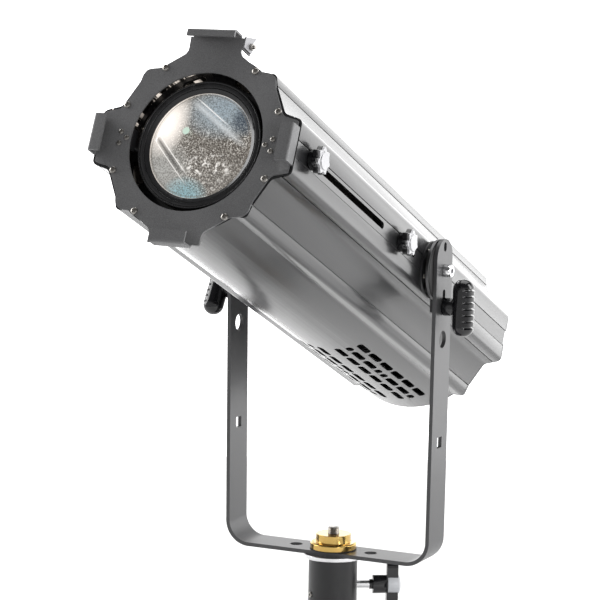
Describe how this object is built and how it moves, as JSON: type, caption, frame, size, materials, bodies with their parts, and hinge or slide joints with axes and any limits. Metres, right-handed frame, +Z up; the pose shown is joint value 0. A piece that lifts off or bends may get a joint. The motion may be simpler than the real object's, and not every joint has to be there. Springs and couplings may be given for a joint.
{
  "type": "ellipsoidal spotlight",
  "caption": "Long ellipsoidal stage spotlight with a ribbed aluminium body, colour-frame channels and sliding lens knobs, hung in a bent-bar yoke on a pole socket.",
  "frame": {"origin": "centre of the mouth of the pole socket", "axes": "+Z up along the socket, -Y the way the beam leaves, +X the side with the focus and zoom knobs"},
  "size_m": [0.2988, 0.6225, 0.6231],
  "materials": {
    "black_powder_coat": "fine powder coat, satin",
    "dark_grey_powder_coat": "fine textured powder coat",
    "bright_steel": "bright zinc, slightly brushed",
    "screw_steel": "zinc plated",
    "yellow_zinc": "yellow passivated zinc, satin",
    "yoke_paint": "satin dark grey paint",
    "body_paint": "satin dark grey metallic paint over an extrusion",
    "black_plastic": "moulded, semi-matte",
    "black_fibre": "matte",
    "grey_plastic": "moulded, satin",
    "clear_cap_plastic": "glossy silver-grey",
    "turned_grey_metal": "turned, satin",
    "chrome_steel": "polished",
    "black_anodised": "satin black anodised",
    "lens_glass": "polished, coated",
    "mirror_aluminium": "polished",
    "dark_aluminium": "black anodised extrusion",
    "plain_aluminium": "mill finish sheet",
    "white_board": "white solder mask",
    "yellow_emitter": "phosphor coating"
  },
  "bodies": {
    "stand": {"pole_socket": "black_powder_coat", "socket_washer": "bright_steel", "pan_stud": "screw_steel", "pan_slip_washer": "black_fibre", "flanged_nut": "yellow_zinc", "grub_screw": "screw_steel"},
    "socket_clamp": {"clamp_screw": "bright_steel", "clamp_knob": "black_plastic", "clamp_cap": "grey_plastic"},
    "yoke": {"yoke_strap": "yoke_paint", "tilt_shoes": "black_powder_coat"},
    "right_lock": {"right_lock_screw": "bright_steel", "right_lock_grip": "black_plastic"},
    "left_lock": {"left_lock_screw": "bright_steel", "left_lock_grip": "black_plastic"},
    "head": {"front_plate": "dark_grey_powder_coat", "frame_channels": "dark_grey_powder_coat", "plate_screws": "screw_steel", "rail_screws": "screw_steel", "latch_screw": "screw_steel", "top_shell": "body_paint", "bottom_shell": "body_paint", "right_side_shell": "body_paint", "left_side_shell": "body_paint", "rear_cover": "body_paint", "rear_screws": "screw_steel", "power_inlet": "black_plastic", "data_sockets": "turned_grey_metal", "tilt_backing_plates": "black_powder_coat", "backing_screws": "screw_steel", "tilt_discs": "turned_grey_metal", "friction_rings": "black_fibre", "pivot_bolts": "chrome_steel", "pivot_nuts": "screw_steel", "rod_blocks": "black_powder_coat", "guide_rods": "bright_steel", "gate_bulkhead": "black_powder_coat", "gate_ring": "turned_grey_metal", "condenser_ring": "black_anodised", "condenser_lens": "lens_glass", "reflector": "mirror_aluminium", "led_board": "white_board", "led_emitter": "yellow_emitter", "heat_sink": "dark_aluminium", "engine_brackets": "plain_aluminium", "led_driver": "plain_aluminium", "fan_frame": "black_plastic"},
    "latch": {"latch_clip": "bright_steel"},
    "focus_stage": {"focus_carriage": "black_anodised", "lens_barrel": "black_anodised", "lens_retaining_ring": "black_anodised", "front_lens": "lens_glass"},
    "focus_knob": {"focus_knob_grip": "black_plastic", "focus_knob_cap": "clear_cap_plastic"},
    "zoom_stage": {"zoom_carriage": "black_anodised", "zoom_lens": "lens_glass", "zoom_lens_ring": "black_anodised"},
    "zoom_knob": {"zoom_knob_grip": "black_plastic", "zoom_knob_cap": "clear_cap_plastic"},
    "fan": {"fan_rotor": "black_plastic"}
  },
  "joints": [
    {"name": "socket_clamp_turn", "type": "hinge", "parent": "stand", "child": "socket_clamp", "pos_m": [0, 0, 0.042], "axis": [0.866, 0.5, 0], "range_deg": [-180, 180]},
    {"name": "pan", "type": "hinge", "parent": "stand", "child": "yoke", "pos_m": [0, 0, 0.078], "axis": [0, 0, 1], "continuous": true},
    {"name": "right_lock_turn", "type": "hinge", "parent": "yoke", "child": "right_lock", "pos_m": [0.12, 0, 0.3421], "axis": [1, 0, 0], "range_deg": [-180, 180]},
    {"name": "left_lock_turn", "type": "hinge", "parent": "yoke", "child": "left_lock", "pos_m": [-0.12, 0, 0.3421], "axis": [-1, 0, 0], "range_deg": [-180, 180]},
    {"name": "tilt", "type": "hinge", "parent": "yoke", "child": "head", "pos_m": [0, 0, 0.3785], "axis": [1, 0, 0], "range_deg": [-65.7, 73]},
    {"name": "latch_turn", "type": "hinge", "parent": "head", "child": "latch", "pos_m": [0.029, -0.2659, 0.60609], "axis": [1, 0, 0], "range_deg": [0, 45]},
    {"name": "focus_slide", "type": "slide", "parent": "head", "child": "focus_stage", "axis": [0, 0.9114, -0.4115], "range_m": [0, 0.175]},
    {"name": "focus_knob_turn", "type": "hinge", "parent": "focus_stage", "child": "focus_knob", "pos_m": [0.102, -0.28573, 0.50751], "axis": [1, 0, 0], "range_deg": [-180, 180]},
    {"name": "zoom_slide", "type": "slide", "parent": "head", "child": "zoom_stage", "axis": [0, 0.9114, -0.4115], "range_m": [0, 0.033]},
    {"name": "zoom_knob_turn", "type": "hinge", "parent": "zoom_stage", "child": "zoom_knob", "pos_m": [0.102, -0.07792, 0.41368], "axis": [1, 0, 0], "range_deg": [-180, 180]},
    {"name": "fan_spin", "type": "hinge", "parent": "head", "child": "fan", "pos_m": [0, 0.19914, 0.28858], "axis": [0, 0.9114, -0.4115], "continuous": true}
  ]
}
